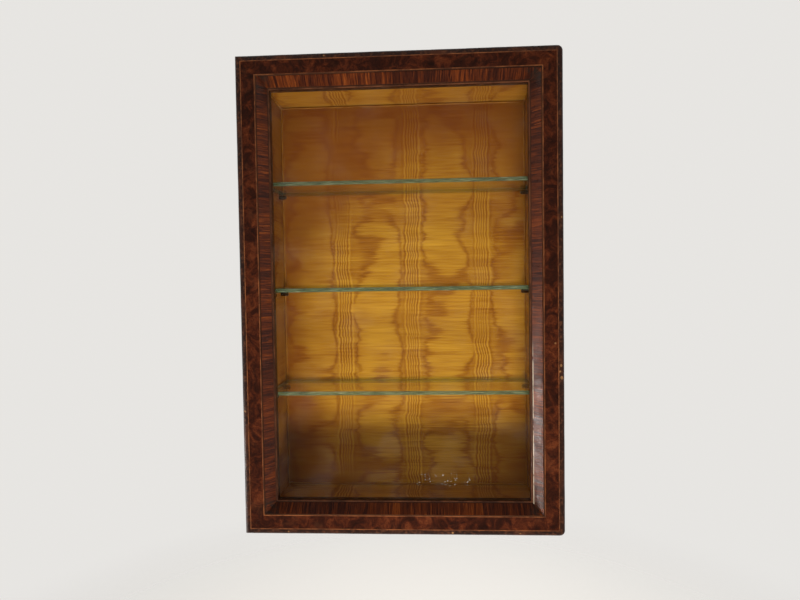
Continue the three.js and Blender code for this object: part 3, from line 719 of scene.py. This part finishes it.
def skin(form, rings, closed):
    """Faces over rings of points, with end caps unless the rings close on themselves."""
    made = [[form.verts.new(point) for point in ring] for ring in rings]
    count = len(rings[0])
    pairs = list(zip(made, made[1:]))
    if closed:
        pairs.append((made[-1], made[0]))
    else:
        form.faces.new(made[0])
        form.faces.new(made[-1][::-1])
    for ring, following in pairs:
        for i in range(count):
            j = (i + 1) % count
            form.faces.new((ring[i], ring[j], following[j], following[i]))


def rail_mesh(name, side, section, steps, shape, sharp):
    form = bmesh.new()
    skin(form, rail_rings(side, section, steps, shape), False)
    bmesh.ops.remove_doubles(form, verts=form.verts, dist=MERGE_WITHIN)
    return mesh_from(form, name, sharp)


def ring_mesh(name, section, steps, shape, sharp):
    """One closed frame of four mitred sides."""
    top = rail_rings("top", section, steps, shape)
    right = rail_rings("right", section, steps, shape)[::-1]
    bottom = rail_rings("bottom", section, steps, shape)[::-1]
    left = rail_rings("left", section, steps, shape)
    form = bmesh.new()
    skin(form, top[:-1] + right[:-1] + bottom[:-1] + left[:-1], True)
    bmesh.ops.remove_doubles(form, verts=form.verts, dist=MERGE_WITHIN)
    return mesh_from(form, name, sharp)


def arc_points(centre, radius, start, end, steps):
    """Points round an arc from start to end, in degrees."""
    turns = [math.radians(start + (end - start) * i / steps) for i in range(steps + 1)]
    return [(centre[0] + radius * math.cos(t), centre[1] + radius * math.sin(t)) for t in turns]


def between(first, second, count):
    """Count points from first towards second, without the second."""
    return [(first[0] + (second[0] - first[0]) * i / count,
             first[1] + (second[1] - first[1]) * i / count) for i in range(count)]


# Sections list (inward from the door's edge, back from its front), in millimetres.
DOOR_DEEP = (DOOR_BACK - DOOR_FRONT) / MM
EDGE_SECTION = [
    (7.4, DOOR_DEEP), (1.4, DOOR_DEEP), (0.4, DOOR_DEEP - 0.4), (0, DOOR_DEEP - 1.4),
    *between((0, DOOR_DEEP - 4), (0, 7.5), 4),
    *arc_points((5.5, 5.5), 5.5, 180, 270, 12), (6.4, 0.0), (7.4, 0.02),
]
BURR_SECTION = [*between((8.55, 0.0), (25.12, 0.0), 12), (25.12, 0.0), (25.12, 0.8), (8.55, 0.8)]
CROSSBAND_SECTION = [
    *between(*SLOPE, 8), SLOPE[1], (SLOPE[1][0] - 0.6, SLOPE[1][1] + 0.54),
    (SLOPE[0][0] - 0.6, SLOPE[0][1] + 0.54),
]
OUTER_LINE_SECTION = [(7.45, 0.0), (8.5, 0.0), (8.5, 0.8), (7.45, 0.8)]
INNER_LINE_SECTION = [(25.15, 0.0), (26.25, 0.0), (26.25, 0.8), (25.15, 0.8)]
SIGHT_SECTION = [
    (39.45, 15.2), (39.45, 13.0), (39.7, 12.55), (40.2, 12.4), (40.7, 12.6), (41.0, 13.2),
    (41.0, 15.2),
]


def chip_depth(point):
    """How far the wood has been knocked away at a point."""
    depth = 0.0
    for x, z, radius, most in CHIPS:
        far = math.hypot(point.x / MM - x, point.z / MM - z) / radius
        if far < 1:
            depth = max(depth, most * (1 - far * far))
    return depth * MM


def uneven(point, size, seed):
    """Smooth noise from -1 to 1 with features of about size, in metres."""
    return noise.noise(point / size + Vector((seed, 2.3 * seed, 0.7 * seed)))


def worn_edge(point, inward, deep):
    """The moulding's round, dented and rubbed thin in places, never proud of its box."""
    if deep > 9:
        return point
    rub = 0.00018 * (0.5 + 0.5 * uneven(point, 0.021, 3.0))
    nick = 0.00035 * max(0.0, uneven(point, 0.0042, 7.0) - 0.45)
    back = rub + nick + chip_depth(point)
    towards = Vector((-math.copysign(1, point.x), 0, 0))
    if HALF_HEIGHT - abs(point.z) < HALF_WIDTH - abs(point.x):
        towards = Vector((0, 0, -math.copysign(1, point.z)))
    share = max(0.0, 1 - inward / 5.5)
    return point + Vector((0, back, 0)) + towards * back * share


def cockled_veneer(point, inward, deep):
    """Old veneer that has moved a little on its ground."""
    if deep > 0.5:
        return point
    rise = 0.00007 * (uneven(point, 0.016, 5.0) + 0.6 * uneven(point, 0.006, 9.0) + 1.2)
    return point + Vector((0, rise + chip_depth(point) * 0.6, 0))


def cockled_slope(point, inward, deep):
    """A slope that is a little crowned across and uneven along."""
    share = (inward - SLOPE[0][0]) / (SLOPE[1][0] - SLOPE[0][0])
    crown = 0.00025 * math.sin(math.pi * min(1.0, max(0.0, share)))
    rise = 0.00008 * (uneven(point, 0.012, 11.0) + 0.8 * uneven(point, 0.004, 13.0))
    return point + Vector((0, rise - crown, 0))


def wavering_line(point, inward, deep):
    """An inlaid line that has sunk unevenly."""
    sink = 0.00005 * (uneven(point, 0.009, 17.0) + 1.0) + 0.4 * chip_depth(point)
    return point + Vector((0, sink if deep < 0.5 else 0, 0))


def add_rail(name, side, section, look, slot, node, finish):
    """One mitred rail piece. Look is the function that shapes its wear and its sharp angle."""
    steps = 300 if side in ("left", "right") else 200
    mesh = rail_mesh(f"{name}_{side}", side, section, steps, *look)
    add_piece(f"{name}_{side}", mesh, "door", slot, [f"{node}_{side}"], finish)


def make_rails():
    for side, (out_x, _) in SIDES.items():
        grain = "z" if out_x else "x"
        add_rail("moulding", side, EDGE_SECTION, (worn_edge, 50),
                 "ebonised", "edge_moulding", "edge")
        add_rail("burr", side, BURR_SECTION, (cockled_veneer, 30),
                 "burr", "burr_band", "burr")
        add_rail("crossbanding", side, CROSSBAND_SECTION, (cockled_slope, 30),
                 "crossband", "crossband", f"crossband_{grain}")
        eased_copy(f"door_core_{side}", "door", 0.2, "walnut", f"walnut_{grain}")


def make_lines():
    for name, section, finish in (
        ("stringing_outer", OUTER_LINE_SECTION, "line"),
        ("stringing_inner", INNER_LINE_SECTION, "line"),
        ("sight_bead", SIGHT_SECTION, "sight"),
    ):
        mesh = ring_mesh(f"{name}_line", section, 160, wavering_line, 50)
        add_piece(f"{name}_line", mesh, "door", "boxwood", [name], finish)


# ----- glass -----


def cut_into_cells(form, first, last, cells):
    """Cuts a plate into so many cells along each axis, where more than one is asked for."""
    size = last - first
    for axis, count in enumerate(cells):
        normal = Vector((0, 0, 0))
        normal[axis] = 1
        for i in range(1, count):
            place = (first + last) / 2
            place[axis] = first[axis] + size[axis] * i / count
            geometry = form.verts[:] + form.edges[:] + form.faces[:]
            bmesh.ops.bisect_plane(form, geom=geometry, plane_co=place, plane_no=normal)


def ripple_faces(form, thin, centre, most):
    """Ripples both broad faces of a plate by up to most, without leaving its box."""
    for vert in form.verts:
        wave = most * uneven(vert.co, 0.05, 21.0)
        outward = 1 if vert.co[thin] > centre else -1
        vert.co[thin] += wave - outward * most


def plate_mesh(name, node, ease, cells, ripple):
    """A glass plate with eased arrises and rippled faces.

    Broad faces take the first finish, the back edge takes the third and other edges the
    second."""
    first, last = low(node), high(node)
    size = last - first
    thin = min(range(3), key=lambda axis: size[axis])
    form = bmesh.new()
    bmesh.ops.create_cube(form, size=1.0, matrix=Matrix.Translation((first + last) / 2)
                          @ Matrix.Diagonal((*size, 1)))
    bmesh.ops.bevel(form, geom=form.edges[:], offset=ease * MM, segments=3,
                    profile=0.5, affect="EDGES")
    cut_into_cells(form, first, last, cells)
    ripple_faces(form, thin, (first[thin] + last[thin]) / 2, ripple * MM)
    for face in form.faces:
        broad = abs(face.normal[thin]) > 0.9
        face.material_index = 0 if broad else (2 if face.normal.y > 0.95 else 1)
    return mesh_from(form, name, 25)


def make_glass():
    for shelf in SHELVES:
        node = f"shelf_{shelf}"
        mesh = plate_mesh(f"glass_{node}", node, ease=0.45, cells=(30, 8, 0), ripple=0.03)
        add_piece(f"glass_{node}", mesh, "case", "shelf_glass", [node],
                  "shelf", "glass_edge", "glass_back")
    pane = plate_mesh("glass_pane", "door_glass", ease=0.3, cells=(30, 0, 45), ripple=0.06)
    add_piece("glass_pane", pane, "door", "pane_glass", ["door_glass"], "pane", "glass_edge")
    eased_copy("glazing_bead", "door", 0.5, "walnut", "walnut_z")


# ----- silk linings -----

ROLL = 2.6 * MM           # the silk rolls over this much of a panel's rim
ROLL_DROP = 1.5 * MM
SLACK = 0.18 * MM         # the silk's mean level under the panel's box
DEEPEST_SILK = 3.1 * MM   # it never falls through the panel
PEG_PINCH = 3.0 * MM      # radius round a peg in which the silk is pressed down most
PUCKER_DEPTH = 0.9 * MM
PUCKER_FADE = 2.2 * MM


def rim_steps(length, spacing):
    """Positions from 0 to length: close together where the silk rolls over the rim."""
    rim = [step * MM for step in (0, 0.12, 0.35, 0.7, 1.2, 1.8, 2.6, 4.0)]
    inner = length - 2 * rim[-1]
    count = max(2, round(inner / spacing))
    body = [rim[-1] + inner * i / count for i in range(1, count)]
    return rim + body + [length - step for step in reversed(rim)]


def roll_drop(edge):
    """How far the silk has fallen away at a distance from the rim."""
    if edge >= ROLL:
        return 0.0
    share = 1 - edge / ROLL
    return ROLL_DROP * (1 - math.sqrt(max(0.0, 1 - share * share)))


def silk_height(edges, spot, puckers):
    """The silk's height above its slack level, from the rim, tension and pegs."""
    near = min(edges)
    level = -roll_drop(edges[0]) - roll_drop(edges[1])
    calm = min(1.0, near / 0.012)
    level += calm * 0.00022 * uneven(spot, 0.055, 31.0)
    level += calm * 0.00010 * uneven(spot, 0.017, 37.0)
    drawn = max(0.0, 1 - near / 0.02) * 0.00016
    level += drawn * uneven(spot * 0.4, 0.0035, 41.0)
    for peg in puckers:
        far = (spot - peg).length
        away = max(0.0, far - PEG_PINCH) / PUCKER_FADE
        level -= PUCKER_DEPTH * math.exp(-away ** 2)
    return level


def silk_grid(form, node, face_axis, face_sign, spacing, puckers):
    """The drawn face of a silk panel, as rows of vertices with faces between them."""
    first, last = low(node), high(node)
    u_axis, v_axis = [axis for axis in range(3) if axis != face_axis]
    us = rim_steps(last[u_axis] - first[u_axis], spacing)
    vs = rim_steps(last[v_axis] - first[v_axis], spacing)
    front = last[face_axis] if face_sign > 0 else first[face_axis]
    width, length = us[-1], vs[-1]
    grid = []
    for u in us:
        row = []
        for v in vs:
            spot = Vector((0, 0, 0))
            spot[u_axis], spot[v_axis] = first[u_axis] + u, first[v_axis] + v
            spot[face_axis] = front
            edges = (min(u, width - u), min(v, length - v))
            level = silk_height(edges, spot, puckers) - SLACK
            spot[face_axis] = front + face_sign * max(level, -DEEPEST_SILK)
            row.append(form.verts.new(spot))
        grid.append(row)
    for i in range(len(us) - 1):
        for j in range(len(vs) - 1):
            form.faces.new((grid[i][j], grid[i + 1][j], grid[i + 1][j + 1], grid[i][j + 1]))
    return grid


def close_back(form, grid, axis, level):
    """Walls from the rim of a grid of vertices to a flat back at a level, and the back."""
    rim = ([row[0] for row in grid] + grid[-1][1:] + [row[-1] for row in grid[-2::-1]]
           + grid[0][-2:0:-1])
    base = []
    for vert in rim:
        point = vert.co.copy()
        point[axis] = level
        base.append(form.verts.new(point))
    for i in range(len(rim)):
        j = (i + 1) % len(rim)
        form.faces.new((rim[i], rim[j], base[j], base[i]))
    form.faces.new(base)


def silk_panel(node, face_axis, face_sign, spacing, finish, puckers=()):
    """Silk drawn over a padded card: a crowned, rolled face on a flat back."""
    form = bmesh.new()
    grid = silk_grid(form, node, face_axis, face_sign, spacing, puckers)
    back = low(node) if face_sign > 0 else high(node)
    close_back(form, grid, face_axis, back[face_axis])
    piece = add_piece(f"silk_{node}", mesh_from(form, f"silk_{node}", 60),
                      "case", "silk", [node], finish)


def peg_spots(side):
    """Where the pegs of one side come through its silk."""
    face = high("lining_left").x if side == "left" else low("lining_right").x
    spots = []
    for shelf in SHELVES:
        for place in ("front", "back"):
            centre = middle(f"peg_{shelf}_{side}_{place}")
            spots.append(Vector((face, centre.y, centre.z)))
    return spots


def make_linings():
    silk_panel("lining_back", Y, -1, 0.005, "silk_back")
    silk_panel("lining_top", Z, -1, 0.004, "silk_level")
    silk_panel("lining_bottom", Z, 1, 0.004, "silk_level")
    silk_panel("lining_left", X, 1, 0.002, "silk_side", peg_spots("left"))
    silk_panel("lining_right", X, -1, 0.002, "silk_side", peg_spots("right"))


# ----- twisted cord -----

CORD_RADIUS = 1.1 * MM
STRANDS = 3

class Tree:
    """A Geometry Nodes tree with named inputs and one geometry output."""

    def __init__(self, name, sizes):
        self.group = bpy.data.node_groups.new(name, "GeometryNodeTree")
        face = self.group.interface
        face.new_socket("Geometry", in_out="INPUT", socket_type="NodeSocketGeometry")
        self.ids = {}
        for size, value in sizes.items():
            socket = face.new_socket(size, in_out="INPUT", socket_type="NodeSocketFloat")
            socket.default_value = value
            self.ids[size] = socket.identifier
        face.new_socket("Geometry", in_out="OUTPUT", socket_type="NodeSocketGeometry")
        self.inputs = self.group.nodes.new("NodeGroupInput").outputs

    def node(self, kind, settings=None, inputs=None, output=0):
        return add_node(self.group, kind, settings, inputs).outputs[output]

    def math(self, operation, first, second):
        return self.node("ShaderNodeMath", {"operation": operation}, {0: first, 1: second})

    def finish(self, geometry, finish):
        made = self.node("GeometryNodeRealizeInstances", inputs={0: geometry})
        made = self.node("GeometryNodeSetMaterial", inputs={
            "Geometry": made, "Material": FINISHES[finish]})
        add_node(self.group, "NodeGroupOutput", inputs={0: made})


def made_by_nodes(name, mesh, tree, sizes):
    """A plain mesh from a Geometry Nodes tree run on a starting mesh."""
    start = bpy.data.objects.new(f"{name}_start", mesh)
    SCENE.collection.objects.link(start)
    maker = start.modifiers.new("maker", "NODES")
    maker.node_group = tree.group
    for size, value in sizes.items():
        maker[tree.ids[size]] = value
    graph = bpy.context.evaluated_depsgraph_get()
    made = bpy.data.meshes.new_from_object(start.evaluated_get(graph), depsgraph=graph)
    start.modifiers.remove(maker)
    bpy.data.objects.remove(start)
    made.name = name
    made.shade_smooth()
    return made


def cord_tree():
    """Strands twisted together, swept along every edge of the starting mesh."""
    tree = Tree("twisted_cord", {"Radius": CORD_RADIUS, "Pitch": 0.0042, "Step": 0.0006})
    radius, pitch, step = (tree.inputs[name] for name in ("Radius", "Pitch", "Step"))
    path = tree.node("GeometryNodeMeshToCurve", inputs={0: tree.inputs["Geometry"]})
    path = tree.node("GeometryNodeResampleCurve", {"mode": "LENGTH"}, {
        "Curve": path, "Length": step})
    travelled = tree.node("GeometryNodeSplineParameter", output="Length")
    turns = tree.math("DIVIDE", travelled, pitch)
    path = tree.node("GeometryNodeSetCurveTilt", inputs={
        "Curve": path, "Tilt": tree.math("MULTIPLY", turns, math.tau)})
    outline = tree.node("GeometryNodeCurvePrimitiveCircle", inputs={
        "Resolution": 12, "Radius": radius})
    angle = tree.math("MULTIPLY", tree.node("GeometryNodeSplineParameter", output="Factor"),
                      STRANDS * math.tau)
    wave = tree.node("ShaderNodeMath", {"operation": "COSINE"}, {0: angle})
    scale = tree.math("ADD", tree.math("MULTIPLY", wave, 0.17), 0.83)
    position = tree.node("GeometryNodeInputPosition")
    moved = tree.node("ShaderNodeVectorMath", {"operation": "SCALE"}, {
        0: position, "Scale": scale})
    outline = tree.node("GeometryNodeSetPosition", inputs={
        "Geometry": outline, "Position": moved})
    cord = tree.node("GeometryNodeCurveToMesh", inputs={
        "Curve": path, "Profile Curve": outline, "Fill Caps": True})
    tree.finish(cord, "cord")
    return tree


def make_cord():
    """A ring round the back of the case and an arm to the front in each corner."""
    first, last = low("lining_gimp"), high("lining_gimp")
    x, back = last.x - CORD_RADIUS, last.y - CORD_RADIUS
    base, top = first.z + CORD_RADIUS, last.z - CORD_RADIUS
    front = first.y + 0.6 * MM
    corners = [(-x, base), (x, base), (x, top), (-x, top)]
    lines = []
    for i, (x0, z0) in enumerate(corners):
        x1, z1 = corners[(i + 1) % 4]
        lines.append(((x0, back, z0), (x1, back, z1)))
        lines.append(((x0, back, z0), (x0, front, z0)))
    mesh = bpy.data.meshes.new("cord_run")
    points = [point for line in lines for point in line]
    mesh.from_pydata(points, [(i, i + 1) for i in range(0, len(points), 2)], [])
    made = made_by_nodes("gimp_cord", mesh, cord_tree(), {"Radius": CORD_RADIUS})
    add_piece("gimp_cord", made, "case", "gimp", ["lining_gimp"])


# ----- pegs -----


def lathe(form, origin, direction, profile, sides):
    """A turned solid: profile is (distance along, radius) from its first end to its last."""
    direction = direction.normalized()
    side = direction.orthogonal().normalized()
    other = direction.cross(side)
    rings = []
    for along, radius in profile:
        centre = origin + direction * along
        rings.append([centre + (side * math.cos(a) + other * math.sin(a)) * radius
                      for a in (math.tau * i / sides for i in range(sides))])
    skin(form, rings, False)


PEG_PROFILE = [   # from the socket to the nose: distance and radius in millimetres
    (0.0, 2.0), (0.8, 2.8), (8.2, 2.8), (8.8, 2.9), (9.1, 3.1), (9.9, 3.1), (10.2, 2.75),
    (10.9, 2.7), (11.3, 3.05), (17.0, 3.05), (18.0, 2.8), (18.7, 2.1), (19.0, 1.0),
]


def make_pegs():
    for shelf in SHELVES:
        for side, sign in (("left", -1), ("right", 1)):
            for place in ("front", "back"):
                node = f"peg_{shelf}_{side}_{place}"
                outer = high(node) if sign > 0 else low(node)
                centre = middle(node)
                origin = Vector((outer.x, centre.y, centre.z))
                reach = (high(node).x - low(node).x) / (PEG_PROFILE[-1][0] * MM)
                profile = [(a * MM * reach, r * MM) for a, r in PEG_PROFILE]
                form = bmesh.new()
                lathe(form, origin, Vector((-sign, 0, 0)), profile, 28)
                add_piece(f"turned_{node}", mesh_from(form, f"turned_{node}", 35),
                          "case", "dark_brass", [node], "dark_brass")


# ----- carcase and fittings -----


def make_carcase():
    for board in ("top", "bottom"):
        eased_copy(f"case_{board}", "case", 0.6, "walnut", "walnut_x")
    for board in ("left", "right"):
        eased_copy(f"case_side_{board}", "case", 0.6, "walnut", "walnut_z")
    eased_copy("back_board", "case", 0.4, "pine")


def make_fittings():
    for place in ("upper", "lower"):
        eased_copy(f"hinge_{place}_case_leaf", "case", 0.12, "brass")
        eased_copy(f"hinge_{place}_door_leaf", "door", 0.12, "brass")
        eased_copy(f"hinge_{place}_pin", "case", 0.1, "brass")
    for side in ("left", "right"):
        plate = eased_copy(f"hanger_{side}", "case", 0.2, "brass")
        for vert in plate.data.vertices:
            vert.co.y = min(vert.co.y, -HANGER_SINK)
    eased_copy("lock_hook_plate", "door", 0.15, "brass")
    eased_copy("lock_escutcheon", "case", 0.3, "brass")
    eased_copy("lock_case", "case", 0.2, "steel")
    eased_copy("lock_bolt", "bolt", 0.15, "steel")
    eased_copy("lock_follower", "follower", 0.1, "steel")


# ----- screw heads -----


LEAF_SCREW_X = -193.5 * MM
HOOK_SCREW_X = 190 * MM
HEAD_RADIUS = 2.2 * MM
HEAD_PROUD = 0.3 * MM
HANGER_SINK = 0.35 * MM     # the keyhole plates sit this far in, so that heads stay off the wall


def screw_tree():
    """A slotted head on every point of the starting mesh, turned by its own random angle."""
    tree = Tree("slotted_heads", {"Radius": 0.0019, "Height": 0.0004, "Slot": 0.0005})
    radius, height, slot = (tree.inputs[name] for name in ("Radius", "Height", "Slot"))
    wide = tree.math("MULTIPLY", radius, 2.4)
    deep = tree.math("MULTIPLY", height, 1.8)
    head = tree.node("GeometryNodeMeshCone", inputs={
        "Vertices": 32, "Side Segments": 2, "Fill Segments": 1, "Depth": height,
        "Radius Top": tree.math("MULTIPLY", radius, 0.92), "Radius Bottom": radius})
    cut = tree.node("GeometryNodeMeshCube", inputs={
        "Size": tree.node("ShaderNodeCombineXYZ", inputs={0: wide, 1: slot, 2: deep})})
    cut = tree.node("GeometryNodeTransform", inputs={
        "Geometry": cut, "Translation": tree.node("ShaderNodeCombineXYZ", inputs={2: height})})
    slotted = tree.node("GeometryNodeMeshBoolean", {
        "operation": "DIFFERENCE", "solver": "EXACT"}, {"Mesh 1": head, "Mesh 2": cut})
    turn = tree.node("FunctionNodeRandomValue", {"data_type": "FLOAT"}, {
        2: 0.0, 3: math.pi, "Seed": 5}, 1)
    heads = tree.node("GeometryNodeInstanceOnPoints", inputs={
        "Points": tree.inputs["Geometry"], "Instance": slotted,
        "Rotation": tree.node("ShaderNodeCombineXYZ", inputs={2: turn})})
    tree.finish(heads, "dark_brass")
    return tree


def add_screws(name, tree, body, places, facing):
    """One joined mesh of screw heads at places, all facing one way."""
    turn = Vector(facing).to_track_quat("Z", "Y")
    start = bpy.data.meshes.new(f"{name}_places")
    start.from_pydata([turn.inverted() @ Vector(place) for place in places], [], [])
    heads = made_by_nodes(name, start, tree, {"Radius": HEAD_RADIUS, "Height": HEAD_PROUD})
    heads.transform(turn.to_matrix().to_4x4())
    heads.shade_flat()
    add_piece(name, heads, body, "brass", [])


def make_screws():
    tree = screw_tree()
    case_front = low("case_side_left").y
    heights = [middle(f"hinge_{place}_pin").z + step * MM
               for place in ("upper", "lower") for step in (-15, 15)]
    on_case = [(LEAF_SCREW_X, case_front, z) for z in heights]
    on_door = [(LEAF_SCREW_X, DOOR_BACK, z) for z in heights]
    on_hook = [(HOOK_SCREW_X, DOOR_BACK, z * MM) for z in (-62, -36)]
    on_hangers = [(x * MM, -HANGER_SINK, z * MM) for x in (-195, 195) for z in (246, 276)]
    forward, backward = (0, -1, 0), (0, 1, 0)
    add_screws("case_leaf_screws", tree, "case", on_case, forward)
    add_screws("door_leaf_screws", tree, "door", on_door, backward)
    add_screws("hook_plate_screws", tree, "door", on_hook, backward)
    add_screws("hanger_screws", tree, "case", on_hangers, backward)


# ----- assembly -----


def floor_finish():
    """Pale floor that thins out with distance, so that it has no edge."""
    f = Finish("floor")
    f.shade(Base_Color=srgb(236, 234, 230), Roughness=0.9, Specular_IOR_Level=0.1)
    far = (f.x ** 2 + f.y ** 2) ** 0.5
    f.surface(far.fade(0.4, 1.25), f.body, f.node("ShaderNodeBsdfTransparent"))
    return f.material


def add_floor():
    form = bmesh.new()
    bmesh.ops.create_grid(form, x_segments=8, y_segments=8, size=2.0)
    mesh = bpy.data.meshes.new("floor")
    form.to_mesh(mesh)
    form.free()
    floor = bpy.data.objects.new("floor", mesh)
    floor.location = (0, 0, FLOOR_LEVEL)
    mesh.materials.append(floor_finish())
    SCENE.collection.objects.link(floor)


def write_sizes():
    def plain(bounds):
        return [[float(part) for part in corner] for corner in bounds]


SCENE.view_settings.view_transform = "Standard"
add_camera()
add_lamps()
add_world()
add_floor()
make_rails()
make_lines()
make_glass()
make_linings()
make_cord()
make_pegs()
make_carcase()
make_fittings()
make_screws()
write_sizes()
